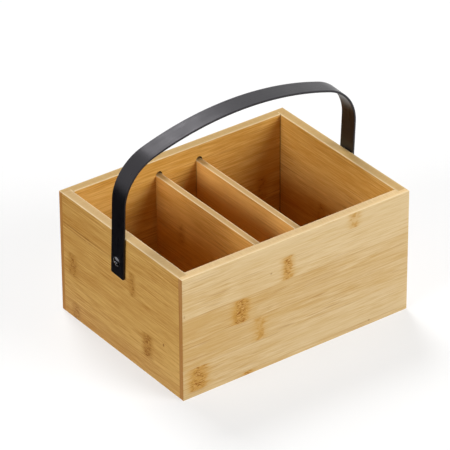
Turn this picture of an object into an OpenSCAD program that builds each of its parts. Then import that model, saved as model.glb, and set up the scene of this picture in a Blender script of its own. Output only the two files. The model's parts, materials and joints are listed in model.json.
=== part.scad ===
// Condiment caddy: an open bamboo box with two dividers and a flat steel bail handle.
// Millimetres. The origin is under the middle of the box, on the surface it stands on.
// X runs along the front, left to right, Y runs from front to back, and Z is up.

/* [Box] */
// Outside length of the box, left to right
box_l = 240; // [180:1:320]
// Outside depth of the box, front to back
box_w = 180; // [130:1:240]
// Height of the box at its rim
box_h = 120; // [90:1:180]
// Thickness of the four wall panels
wall_t = 9.5; // [9:0.5:14]
// Radius that eases the outside edges of the box and the inside of its rim
edge_r = 1; // [0.4:0.1:2]

/* [Wood joints] */
// Thickness of the lip that laps over each end panel
lip_t = 5; // [3:0.5:7]
// Depth of the grooves that hold the bottom and the dividers
groove_d = 4; // [2:0.5:5]
// Glue gap on each side of a wooden joint
glue_gap = 0.05; // [0.02:0.01:0.15]

/* [Bottom] */
// Thickness of the bottom panel
bottom_t = 5; // [3:0.5:8]
// Height of the bottom panel's underside
bottom_lift = 5; // [3:0.5:12]

/* [Dividers] */
// Thickness of each divider
divider_t = 6.5; // [4:0.5:9]
// Distance between the middles of the two dividers
divider_pitch = 43; // [30:1:90]
// How far the dividers stop below the rim
divider_drop = 15; // [6:1:50]
// Radius that eases a divider's top edges
divider_edge_r = 0.6; // [0.2:0.1:1.5]

/* [Handle strap] */
// Width of the strap
strap_w = 18; // [13:0.5:24]
// Thickness of the strap
strap_t = 2; // [1.5:0.1:3]
// Radius of the strap's long edges
strap_edge_r = 0.5; // [0.2:0.1:0.7]
// Height of the top of the handle above the rim
handle_rise = 89; // [80:1:130]
// Outside radius of the two bends
bend_r = 44.5; // [20:0.5:55]
// Outside radius of the crowned top
arch_r = 285; // [220:0.5:600]
// Length of strap below each pivot
strap_tail = 15; // [12:0.5:24]
// Radius of the corners at the strap's ends
tail_corner_r = 1.2; // [0.8:0.1:4]
// How far the handle leans to the front, in degrees
handle_lean = 3; // [-50:1:50]

/* [Pivots] */
// How far the pivots lie below the rim
pivot_drop = 25.5; // [18:0.5:40]
// Diameter of the smooth shoulder that the strap turns on
shoulder_d = 5; // [4.5:0.1:6]
// Diameter of the screw's thread
thread_d = 4; // [3:0.1:4.2]
// Length of the screw's thread
thread_l = 6; // [4:0.5:7]
// Diameter of the screw's head
head_d = 8.5; // [8:0.1:12]
// Height of the screw's domed head
head_h = 2; // [1.8:0.1:3.5]
// Length of each arm of the cross recess, across the head
recess_l = 4.6; // [3:0.1:6]
// Width of each arm of the cross recess
recess_w = 1.1; // [0.6:0.1:1.6]
// Depth of the cross recess
recess_d = 1.5; // [0.8:0.1:1.7]
// Diameter of the spacer washer
washer_d = 12; // [8:0.5:16]
// Gap between the strap and the end panels, filled by the spacer washers
strap_gap = 0.5; // [0.3:0.1:2]
// Diameter of the threaded insert
insert_d = 7; // [6:0.1:9]
// Length of the threaded insert
insert_l = 7.5; // [7:0.1:8]
// Clearance round a screw, on the radius
run_gap = 0.05; // [0.02:0.01:0.1]
// Play at each face of the strap
side_play = 0.05; // [0.02:0.01:0.2]

/* [Hidden] */
$fn = 64;

// Inside of the box
inner_l = box_l - 2 * wall_t;
inner_w = box_w - 2 * wall_t;
floor_z = bottom_lift + bottom_t;
divider_top_z = box_h - divider_drop;
pivot_z = box_h - pivot_drop;

// Faces of the strap and the screws, measured out from the middle of the box
strap_in_x = box_l / 2 + strap_gap;
strap_out_x = strap_in_x + strap_t;
head_x = strap_out_x + side_play;

// Handle curve: the centres of the crown and of the bends, which share a tangent where they meet
arch_z = box_h + handle_rise - arch_r;
bend_x = strap_out_x - bend_r;
bend_z = arch_z + sqrt(pow(arch_r - bend_r, 2) - pow(bend_x, 2));

// Point far out on the line through the crown's centre and the right bend's centre
far_reach = 1 + arch_r / (arch_r - bend_r);
far_x = far_reach * bend_x;
far_z = arch_z + far_reach * (bend_z - arch_z);

// Length by which cutting shapes pass through what they cut
cut = 1;

// Colours
bamboo_light = [0.85, 0.73, 0.53];
bamboo_honey = [0.72, 0.54, 0.28];
bamboo_shade = [0.66, 0.47, 0.22];
black_steel = [0.06, 0.06, 0.07];
black_screw = [0.14, 0.14, 0.15];
dark_nylon = [0.10, 0.10, 0.11];
brass = [0.75, 0.60, 0.30];

// Rectangle centred on its origin, with rounded corners
module rounded_rect(size, r) {
    square([size[0] - 2 * r, size[1]], center = true);
    square([size[0], size[1] - 2 * r], center = true);
    for (x = [-1, 1], y = [-1, 1])
        translate([x * (size[0] / 2 - r), y * (size[1] / 2 - r)]) circle(r);
}

// Outline of the whole box with every outside edge eased
module box_envelope() {
    intersection() {
        linear_extrude(box_h) rounded_rect([box_l, box_w], edge_r);
        translate([0, box_w / 2, box_h / 2]) rotate([90, 0, 0])
            linear_extrude(box_w) rounded_rect([box_l, box_h], edge_r);
        translate([-box_l / 2, 0, box_h / 2]) rotate([90, 0, 90])
            linear_extrude(box_l) rounded_rect([box_w, box_h], edge_r);
    }
}

// Cutter along X that rounds the rim's inside edge, whose inside face is at y = 0
module rim_cutter(length) {
    translate([-length / 2, 0, box_h]) rotate([90, 0, 90]) linear_extrude(length) difference() {
        translate([-edge_r, -edge_r]) square([edge_r + cut, edge_r + cut]);
        translate([-edge_r, -edge_r]) circle(edge_r);
    }
}

// Stopped groove for a divider, cut groove_d deep into a face at y = 0, with a half-round top end
module divider_groove() {
    width = divider_t + 2 * glue_gap;
    translate([0, groove_d, 0]) rotate([90, 0, 0]) linear_extrude(groove_d + cut) {
        translate([-width / 2, floor_z]) square([width, divider_top_z + glue_gap - floor_z]);
        translate([0, divider_top_z + glue_gap]) circle(width / 2);
    }
}

// Groove for the bottom panel, cut groove_d deep into a face at y = 0
module bottom_groove(length) {
    translate([-length / 2, -cut, bottom_lift - glue_gap])
        cube([length, groove_d + cut, bottom_t + 2 * glue_gap]);
}

// Long wall panel at the back of the box: the front panel is the same piece turned round
module long_panel() {
    rabbet_y = box_w / 2 - lip_t;
    difference() {
        intersection() {
            box_envelope();
            translate([-box_l / 2, inner_w / 2, 0]) cube([box_l, wall_t, box_h]);
        }
        for (side = [-1, 1]) {
            translate([side * (inner_l / 2 + wall_t / 2 + cut / 2), (inner_w / 2 + rabbet_y - cut) / 2, box_h / 2])
                cube([wall_t + cut, rabbet_y - inner_w / 2 + cut, box_h + 2 * cut], center = true);
            translate([side * divider_pitch / 2, inner_w / 2, 0]) divider_groove();
        }
        translate([0, inner_w / 2, 0]) bottom_groove(inner_l + 2 * groove_d);
        translate([0, inner_w / 2, 0]) mirror([0, 1, 0]) rim_cutter(inner_l);
    }
}

// End panel at the right of the box: the left end panel is the same piece turned round
module end_panel() {
    length = box_w - 2 * (lip_t + glue_gap);
    inside_x = inner_l / 2 + glue_gap;
    hole_d = insert_d + 2 * glue_gap;
    hole_l = insert_l + glue_gap;
    difference() {
        intersection() {
            box_envelope();
            translate([inside_x, -length / 2, 0]) cube([wall_t, length, box_h]);
        }
        translate([inner_l / 2, 0, 0]) rotate([0, 0, -90]) bottom_groove(box_w);
        translate([inside_x, 0, 0]) rotate([0, 0, -90]) mirror([0, 1, 0]) rim_cutter(inner_w);
        translate([box_l / 2 - hole_l, 0, pivot_z]) rotate([0, 90, 0]) cylinder(h = hole_l + cut, d = hole_d);
    }
}

module front_panel() {
    color(bamboo_light) rotate([0, 0, 180]) long_panel();
}

module back_panel() {
    color(bamboo_light) long_panel();
}

module left_end_panel() {
    color(bamboo_honey) rotate([0, 0, 180]) end_panel();
}

module right_end_panel() {
    color(bamboo_honey) end_panel();
}

module bottom_panel() {
    tongue = groove_d - glue_gap;
    color(bamboo_shade) translate([0, 0, bottom_lift]) linear_extrude(bottom_t)
        square([inner_l + 2 * tongue, inner_w + 2 * tongue], center = true);
}

// Divider standing on the bottom panel, its ends in the stopped grooves
module divider(x) {
    length = inner_w + 2 * (groove_d - glue_gap);
    height = divider_top_z - floor_z;
    translate([x, length / 2, floor_z]) rotate([90, 0, 0]) linear_extrude(length) {
        translate([-divider_t / 2, 0]) square([divider_t, height - divider_edge_r]);
        square_w = divider_t - 2 * divider_edge_r;
        translate([-square_w / 2, 0]) square([square_w, height]);
        for (side = [-1, 1])
            translate([side * square_w / 2, height - divider_edge_r]) circle(divider_edge_r);
    }
}

module left_divider() {
    color(bamboo_honey) divider(-divider_pitch / 2);
}

module right_divider() {
    color(bamboo_honey) divider(divider_pitch / 2);
}

// Full ring of bent strap about an axis along Y
module strap_ring(centre_x, centre_z, radius) {
    translate([centre_x, 0, centre_z]) rotate([90, 0, 0]) rotate_extrude($fn = 256)
        translate([radius - strap_t / 2, 0]) rounded_rect([strap_t, strap_w], strap_edge_r);
}

// Space above the straight legs, which end where the bends begin
module above_legs() {
    reach = strap_out_x + strap_t;
    translate([-reach, -strap_w, bend_z]) cube([2 * reach, 2 * strap_w, arch_r]);
}

// Wedge from the crown's centre that holds the crown between the two bends
module crown_wedge() {
    translate([0, strap_w, 0]) rotate([90, 0, 0]) linear_extrude(2 * strap_w)
        polygon([[0, arch_z], [far_x, far_z], [-far_x, far_z]]);
}

module strap_crown() {
    intersection() {
        strap_ring(0, arch_z, arch_r);
        crown_wedge();
    }
}

module strap_bend(side) {
    difference() {
        intersection() {
            strap_ring(side * bend_x, bend_z, bend_r);
            above_legs();
        }
        crown_wedge();
    }
}

// Straight leg with rounded end corners and the hole for the screw's shoulder
module strap_leg(side) {
    tail_z = pivot_z - strap_tail;
    leg_l = 2 * (bend_z - tail_z);
    hole_d = shoulder_d + 2 * run_gap;
    difference() {
        translate([side * (strap_in_x + strap_t / 2), 0, tail_z]) intersection() {
            linear_extrude(leg_l) rounded_rect([strap_t, strap_w], strap_edge_r);
            translate([-strap_t, 0, leg_l / 2]) rotate([90, 0, 90])
                linear_extrude(2 * strap_t) rounded_rect([strap_w, leg_l], tail_corner_r);
        }
        translate([side * strap_in_x - strap_t * 2, 0, pivot_z]) rotate([0, 90, 0])
            cylinder(h = 4 * strap_t, d = hole_d);
        above_legs();
    }
}

// Turns its children about the line through the two pivots, towards the front
module leaned(angle) {
    translate([0, 0, pivot_z]) rotate([angle, 0, 0]) translate([0, 0, -pivot_z]) children();
}

module handle_strap() {
    color(black_steel) leaned(handle_lean) {
        strap_crown();
        for (side = [-1, 1]) {
            strap_bend(side);
            strap_leg(side);
        }
    }
}

// Places a turned piece on the right pivot, its axis from the box outwards, z = 0 on the panel's face
module on_right_pivot() {
    translate([box_l / 2, 0, pivot_z]) rotate([0, 90, 0]) children();
}

module on_left_pivot() {
    rotate([0, 0, 180]) on_right_pivot() children();
}

// Screw with a domed head, a smooth shoulder that stands on the insert, and a thread
module pivot_screw() {
    shoulder_l = head_x - box_l / 2;
    rim_h = head_h / 3;
    dome_h = head_h - rim_h;
    dome_r = (pow(head_d / 2, 2) + pow(dome_h, 2)) / (2 * dome_h);
    difference() {
        union() {
            translate([0, 0, -thread_l]) cylinder(h = thread_l, d = thread_d);
            cylinder(h = shoulder_l, d = shoulder_d);
            intersection() {
                translate([0, 0, shoulder_l]) cylinder(h = head_h, d = head_d);
                translate([0, 0, shoulder_l + head_h - dome_r]) sphere(dome_r);
            }
        }
        translate([0, 0, shoulder_l + head_h - recess_d]) for (turn = [0, 90])
            rotate([0, 0, turn]) translate([-recess_l / 2, -recess_w / 2, 0]) cube([recess_l, recess_w, head_h]);
    }
}

module spacer_washer() {
    washer_t = strap_gap - side_play;
    difference() {
        cylinder(h = washer_t, d = washer_d);
        translate([0, 0, -cut]) cylinder(h = washer_t + 2 * cut, d = shoulder_d + 2 * run_gap);
    }
}

module threaded_insert() {
    translate([0, 0, -insert_l]) difference() {
        cylinder(h = insert_l, d = insert_d);
        translate([0, 0, -cut]) cylinder(h = insert_l + 2 * cut, d = thread_d + 2 * run_gap);
    }
}

module left_pivot_screw() {
    color(black_screw) on_left_pivot() pivot_screw();
}

module right_pivot_screw() {
    color(black_screw) on_right_pivot() pivot_screw();
}

module left_spacer_washer() {
    color(dark_nylon) on_left_pivot() spacer_washer();
}

module right_spacer_washer() {
    color(dark_nylon) on_right_pivot() spacer_washer();
}

module left_threaded_insert() {
    color(brass) on_left_pivot() threaded_insert();
}

module right_threaded_insert() {
    color(brass) on_right_pivot() threaded_insert();
}

front_panel();
back_panel();
left_end_panel();
right_end_panel();
bottom_panel();
left_divider();
right_divider();
handle_strap();
left_pivot_screw();
right_pivot_screw();
left_spacer_washer();
right_spacer_washer();
left_threaded_insert();
right_threaded_insert();
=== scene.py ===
"""Condiment caddy: bamboo, black strap and pivots on the packed frame, with a pale studio stage."""
import json
import math

import bmesh
import bpy
import numpy as np
from bpy.props import FloatProperty, FloatVectorProperty, PointerProperty
from mathutils import Matrix, Vector


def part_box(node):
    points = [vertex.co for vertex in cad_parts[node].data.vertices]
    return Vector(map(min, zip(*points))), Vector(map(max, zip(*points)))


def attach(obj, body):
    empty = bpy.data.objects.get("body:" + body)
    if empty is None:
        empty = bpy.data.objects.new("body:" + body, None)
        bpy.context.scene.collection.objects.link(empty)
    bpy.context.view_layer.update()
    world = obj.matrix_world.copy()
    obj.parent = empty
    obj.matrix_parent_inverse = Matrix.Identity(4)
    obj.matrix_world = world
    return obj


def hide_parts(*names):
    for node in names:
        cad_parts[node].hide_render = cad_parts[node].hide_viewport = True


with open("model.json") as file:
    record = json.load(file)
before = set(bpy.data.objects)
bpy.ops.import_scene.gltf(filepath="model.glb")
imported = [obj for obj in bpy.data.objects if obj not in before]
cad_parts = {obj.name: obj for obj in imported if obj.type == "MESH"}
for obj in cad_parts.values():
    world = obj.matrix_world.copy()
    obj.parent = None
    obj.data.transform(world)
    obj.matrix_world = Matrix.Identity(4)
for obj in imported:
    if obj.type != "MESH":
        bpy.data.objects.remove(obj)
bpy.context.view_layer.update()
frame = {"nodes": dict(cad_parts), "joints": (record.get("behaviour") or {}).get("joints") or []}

bl_info = {
    "name": "Condiment Caddy",
    "version": (1, 0, 0),
    "blender": (4, 5, 0),
    "location": "View3D > Sidebar > Caddy",
    "description": "Finishes a bamboo condiment caddy with a swinging strap handle and sets it in a pale studio",
    "category": "Object",
}

MM = 0.001

# Sizes that the frame gives, in metres
BOX_LOW = Vector(map(min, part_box("front_panel")[0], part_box("left_end_panel")[0]))
BOX_HIGH = Vector(map(max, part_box("back_panel")[1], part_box("right_end_panel")[1]))
PIVOT = Vector(frame["joints"][0]["pos_m"])
STRAP_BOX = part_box("handle_strap")
WASHER_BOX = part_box("right_spacer_washer")
INSERT_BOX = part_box("right_threaded_insert")
SCREW_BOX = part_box("right_pivot_screw")


def length(name, description, default, **options):
    """A property in metres."""
    return FloatProperty(name=name, description=description, default=default, unit="LENGTH", precision=5, **options)


def angle(name, description, degrees):
    """A property in radians, shown in degrees."""
    return FloatProperty(name=name, description=description, default=math.radians(degrees), subtype="ANGLE")


def tint(name, description, red, green, blue):
    """A colour property, written as display values from 0 to 255."""
    shown = (red / 255, green / 255, blue / 255)
    return FloatVectorProperty(
        name=name, description=description, default=shown, size=3, min=0, max=1, subtype="COLOR_GAMMA"
    )


def share(name, description, default):
    """A property from 0 to 1."""
    return FloatProperty(name=name, description=description, default=default, min=0, max=1, subtype="FACTOR")


class CaddyBamboo(bpy.types.PropertyGroup):
    """Sizes and colours of the laminated bamboo boards"""

    strip_width: length("Strip width", "Width of the strips that are glued side by side", 24.7 * MM)
    wall_ply: length("Wall face ply", "Thickness of the outer plies of the wall panels", 2.6 * MM)
    divider_ply: length("Divider face ply", "Thickness of the outer plies of the dividers and the bottom", 1.6 * MM)
    wall_pale: tint("Wall, pale", "Palest strips of the front", 219, 193, 147)
    wall_honey: tint("Wall, honey", "Darkest strips of the front", 199, 161, 100)
    wall_sawn: tint("Wall, sawn", "Sawn edges of the front", 226, 194, 142)
    wall_knuckle: tint("Wall, knuckle", "Halo of the front's marks, where the cane's joints were", 196, 146, 62)
    end_pale: tint("End, pale", "Palest strips of the left end", 216, 172, 97)
    end_honey: tint("End, honey", "Darkest strips of the left end", 180, 125, 50)
    end_sawn: tint("End, sawn", "Sawn edges of the left end", 191, 161, 112)
    end_knuckle: tint("End, knuckle", "Halo of the left end's marks", 184, 133, 60)
    inside_pale: tint("Inside, pale", "Palest strips of the other boards", 227, 182, 107)
    inside_honey: tint("Inside, honey", "Darkest strips of the other boards", 196, 143, 62)
    inside_sawn: tint("Inside, sawn", "Sawn edges of the other boards", 187, 155, 100)
    inside_knuckle: tint("Inside, knuckle", "Halo of the other boards' marks", 190, 134, 54)
    divider_pale: tint("Divider, pale", "Palest strips of the dividers", 238, 185, 107)
    divider_honey: tint("Divider, honey", "Darkest strips of the dividers", 206, 146, 62)
    divider_sawn: tint("Divider, sawn", "Sawn edges of the dividers", 180, 146, 94)
    divider_knuckle: tint("Divider, knuckle", "Halo of the dividers' marks", 196, 137, 56)
    streak: tint("Streak", "Dark fibre bundles", 160, 106, 42)
    knuckle_core: tint("Knuckle core", "Dark dashes in the middle of the marks", 142, 86, 22)
    end_grain: tint("End grain", "Ends of the fibres", 174, 119, 58)
    # Dark colour for the painted shade in the stopped grooves, and for the dark joint lines at the inside corners
    routed: tint("Routed", "Walls of the routed grooves", 70, 34, 10)
    # Sanded paler, and a painted highlight where the rims' rounded edges catch the light
    sanded_edge: tint("Sanded edge", "Eased corners of the edges, sanded paler", 240, 220, 182)
    roughness: share("Lacquer roughness", "Roughness of the satin lacquer", 0.46)


class CaddyStrap(bpy.types.PropertyGroup):
    """Sizes and finish of the bent steel strap"""

    width: length("Width", "Width of the strap", 18 * MM)
    thickness: length("Thickness", "Thickness of the strap", 2 * MM)
    edge_radius: length("Edge radius", "Radius of the strap's long edges", 0.5 * MM)
    bend_radius: length("Bend radius", "Outside radius of the two bends", 44.5 * MM)
    crown_radius: length("Crown radius", "Outside radius of the crowned top", 285 * MM)
    rise: length("Rise", "Height of the top above the rim", 89 * MM)
    tail: length("Tail", "Length below each pivot", 15 * MM)
    tail_radius: length("Tail corner radius", "Radius of the corners at the ends", 1.2 * MM)
    hole: length("Hole diameter", "Diameter of the hole at each pivot", 5.1 * MM)
    lean: angle("Lean", "Lean to the front, at rest", 3)
    coat: tint("Coat", "Black satin coat", 10, 9, 12)
    roughness: share("Roughness", "Roughness of the coat", 0.34)


class CaddyPivots(bpy.types.PropertyGroup):
    """Sizes and finish of the pivot screws, washers and inserts"""

    head_diameter: length("Head diameter", "Diameter of the screw's head", 8.5 * MM)
    head_height: length("Head height", "Height of the domed head", 2 * MM)
    recess_length: length("Recess length", "Length of the cross recess, from tip to tip", 4.7 * MM)
    recess_width: length("Recess width", "Width of the recess's arms", 1.15 * MM)
    recess_depth: length("Recess depth", "Depth of the recess at its middle", 1.5 * MM)
    play: length("Play", "Gap between the strap and the screw's head", 0.05 * MM)
    shoulder_diameter: length("Shoulder diameter", "Smooth shoulder that the strap turns on", 5 * MM)
    thread_diameter: length("Thread diameter", "Outside diameter of the thread", 4 * MM)
    thread_pitch: length("Thread pitch", "Pitch of the thread", 0.7 * MM)
    insert_pitch: length("Insert pitch", "Pitch of the insert's wood thread", 1.8 * MM)
    screw: tint("Screw", "Dark plated steel", 118, 117, 120)
    nylon: tint("Nylon", "Dark nylon washer", 30, 29, 30)
    brass: tint("Brass", "Brass of the inserts", 196, 160, 92)


class CaddyStage(bpy.types.PropertyGroup):
    """Camera and studio light"""

    lens: length("Lens", "Focal length on a sensor 36 mm wide", 292.9 * MM)
    azimuth: angle("Azimuth", "Turn of the camera round the caddy", -36.221)
    elevation: angle("Elevation", "Height of the camera above the horizon", 31.510)
    roll: angle("Roll", "Turn of the camera about its own view", -0.321)
    distance: length("Distance", "From the camera to the middle of the box", 3158.2 * MM)
    aside: length("Aside", "How far the middle of the box lies right of the view's middle", -8.06 * MM)
    above: length("Above", "How far the middle of the box lies above the view's middle", 21.61 * MM)
    floor: tint("Floor", "Pale floor", 251, 251, 251)
    side_fill: FloatProperty(name="Side fill", description="Strength of the soft light from the left", default=2.05)
    front_fill: FloatProperty(name="Front fill", description="Strength of the soft light from the front", default=2.85)
    overhead: FloatProperty(name="Overhead", description="Strength of the soft light from above", default=2.4)
    sheen: FloatProperty(name="Sheen", description="Strength of the reflection from above", default=0.58)
    underglow: FloatProperty(name="Underglow", description="Strength of the light through the floor", default=1.8)
    ambient: FloatProperty(name="Ambient", description="Strength of the light from all round", default=0.01)


def linear(colour):
    """Display colour turned into the scene's linear values, with an alpha of 1."""
    shown = np.asarray(colour[:3])
    lit = np.where(shown <= 0.04045, shown / 12.92, ((shown + 0.055) / 1.055) ** 2.4)
    return (*lit.tolist(), 1.0)


class Tree:
    """Short words for wiring one node tree: any value may be a number, a colour or another node's output."""

    def __init__(self, tree):
        self.tree = tree

    def feed(self, socket, value):
        """Links an output to the socket, or sets its value."""
        if isinstance(value, bpy.types.NodeSocket):
            self.tree.links.new(value, socket)
        else:
            socket.default_value = value

    def node(self, kind, inputs=(), **settings):
        """Adds a node, sets its options and feeds the named or numbered inputs."""
        made = self.tree.nodes.new(kind)
        for name, value in settings.items():
            setattr(made, name, value)
        for name, value in dict(inputs).items():
            self.feed(made.inputs[name], value)
        return made

    def math(self, operation, *values, clamp=False):
        """One number worked out from up to three."""
        made = self.node("ShaderNodeMath", dict(enumerate(values)), operation=operation, use_clamp=clamp)
        return made.outputs[0]

    def vector(self, operation, *values):
        """One vector worked out from up to three."""
        return self.node("ShaderNodeVectorMath", dict(enumerate(values)), operation=operation).outputs[0]

    def combine(self, x, y, z):
        """Three numbers as a vector."""
        return self.node("ShaderNodeCombineXYZ", {"X": x, "Y": y, "Z": z}).outputs[0]

    def separate(self, vector):
        """A vector as three numbers."""
        return self.node("ShaderNodeSeparateXYZ", {"Vector": vector}).outputs

    def ramp(self, value, low, high, start=0.0, end=1.0):
        """Smooth step: start below low, end above high, and a soft curve between."""
        wires = {"Value": value, "From Min": low, "From Max": high, "To Min": start, "To Max": end}
        return self.node("ShaderNodeMapRange", wires, interpolation_type="SMOOTHSTEP").outputs[0]

    def steps(self, value, places, levels):
        """A level for each stretch of value, changing at the places."""
        made = self.node("ShaderNodeValToRGB", {"Fac": value})
        made.color_ramp.interpolation = "CONSTANT"
        elements = made.color_ramp.elements
        elements.remove(elements[1])
        for place, level in zip(places[1:], levels[1:]):
            elements.new(place).color = (level, level, level, 1)
        elements[0].position = places[0]
        elements[0].color = (levels[0], levels[0], levels[0], 1)
        return made.outputs[0]

    def mix(self, factor, first, second, blend="MIX"):
        """Two colours mixed."""
        made = self.node("ShaderNodeMix", data_type="RGBA", blend_type=blend)
        for socket, value in zip((made.inputs[0], made.inputs[6], made.inputs[7]), (factor, first, second)):
            self.feed(socket, value)
        return made.outputs[2]

    def noise(self, vector, scale=1.0, detail=2.0, roughness=0.5):
        """Soft noise from about 0.3 to 0.7."""
        wires = {"Vector": vector, "Scale": scale, "Detail": detail, "Roughness": roughness}
        return self.node("ShaderNodeTexNoise", wires).outputs[0]

    def group(self, group, inputs):
        """A node group placed with its own values; returns its outputs."""
        made = self.tree.nodes.new("ShaderNodeGroup")
        made.node_tree = group
        for name, value in inputs.items():
            self.feed(made.inputs[name], value)
        return made.outputs


def new_group(name, inputs, outputs):
    """An empty shader node group with its sockets; returns its tree, its inputs and its end node."""
    tree = bpy.data.node_groups.new(name, "ShaderNodeTree")
    kinds = {"value": "NodeSocketFloat", "vector": "NodeSocketVector", "colour": "NodeSocketColor"}
    for label, kind in inputs.items():
        tree.interface.new_socket(name=label, in_out="INPUT", socket_type=kinds[kind])
    for label, kind in outputs.items():
        tree.interface.new_socket(name=label, in_out="OUTPUT", socket_type=kinds[kind])
    start = tree.nodes.new("NodeGroupInput")
    end = tree.nodes.new("NodeGroupOutput")
    return Tree(tree), start.outputs, end.inputs


def new_material(name):
    """An empty material with one Principled shader; returns the material, its tree and the shader."""
    material = bpy.data.materials.new(name)
    material.use_nodes = True
    material.node_tree.nodes.clear()
    tree = Tree(material.node_tree)
    shader = tree.node("ShaderNodeBsdfPrincipled")
    tree.node("ShaderNodeOutputMaterial", {"Surface": shader.outputs[0]})
    return material, tree, shader


def knuckle_group():
    """Mask of one knuckle mark: a soft halo along the grain, as tall as its strip, round a narrower broken core."""
    inputs = {"Board": "vector", "Along": "value", "Across": "value", "Half Length": "value"}
    inputs.update({"Half Height": "value", "Through": "value", "Strength": "value"})
    tree, given, end = new_group("Bamboo Knuckle", inputs, {"Mask": "value", "Around": "value"})
    along, across, through = tree.separate(given["Board"])
    frayed = tree.noise(tree.vector("MULTIPLY", given["Board"], (0.07, 0.55, 0.2)), detail=3.0, roughness=0.6)
    fray = tree.math("MULTIPLY", tree.math("SUBTRACT", frayed, 0.5), 1.8)
    aside = tree.math("ABSOLUTE", tree.math("SUBTRACT", along, given["Along"]))
    near = tree.math("ADD", tree.math("DIVIDE", aside, given["Half Length"]), fray)
    halo = tree.ramp(near, 1.8, 0.2, 0.0, 0.5)
    patchy = tree.noise(tree.vector("MULTIPLY", given["Board"], (0.17, 0.20, 0.2)), detail=2.0)
    core = tree.math("MULTIPLY", tree.ramp(near, 0.9, 0.0, 0.0, 0.5), tree.ramp(patchy, 0.40, 0.6))
    over = tree.math("ABSOLUTE", tree.math("SUBTRACT", across, given["Across"]))
    window = tree.ramp(tree.math("DIVIDE", over, given["Half Height"]), 1.0, 0.86)
    deep = tree.math("ABSOLUTE", tree.math("SUBTRACT", through, given["Through"]))
    layer = tree.math("LESS_THAN", deep, 3.0)
    strength = tree.math("MULTIPLY", tree.math("MULTIPLY", window, layer), given["Strength"])
    tree.feed(end["Mask"], tree.math("MULTIPLY", tree.math("ADD", halo, core), strength))
    around = tree.ramp(tree.math("DIVIDE", aside, given["Half Length"]), 7.0, 1.5)
    tree.feed(end["Around"], tree.math("MULTIPLY", around, strength))
    return tree.tree


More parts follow.
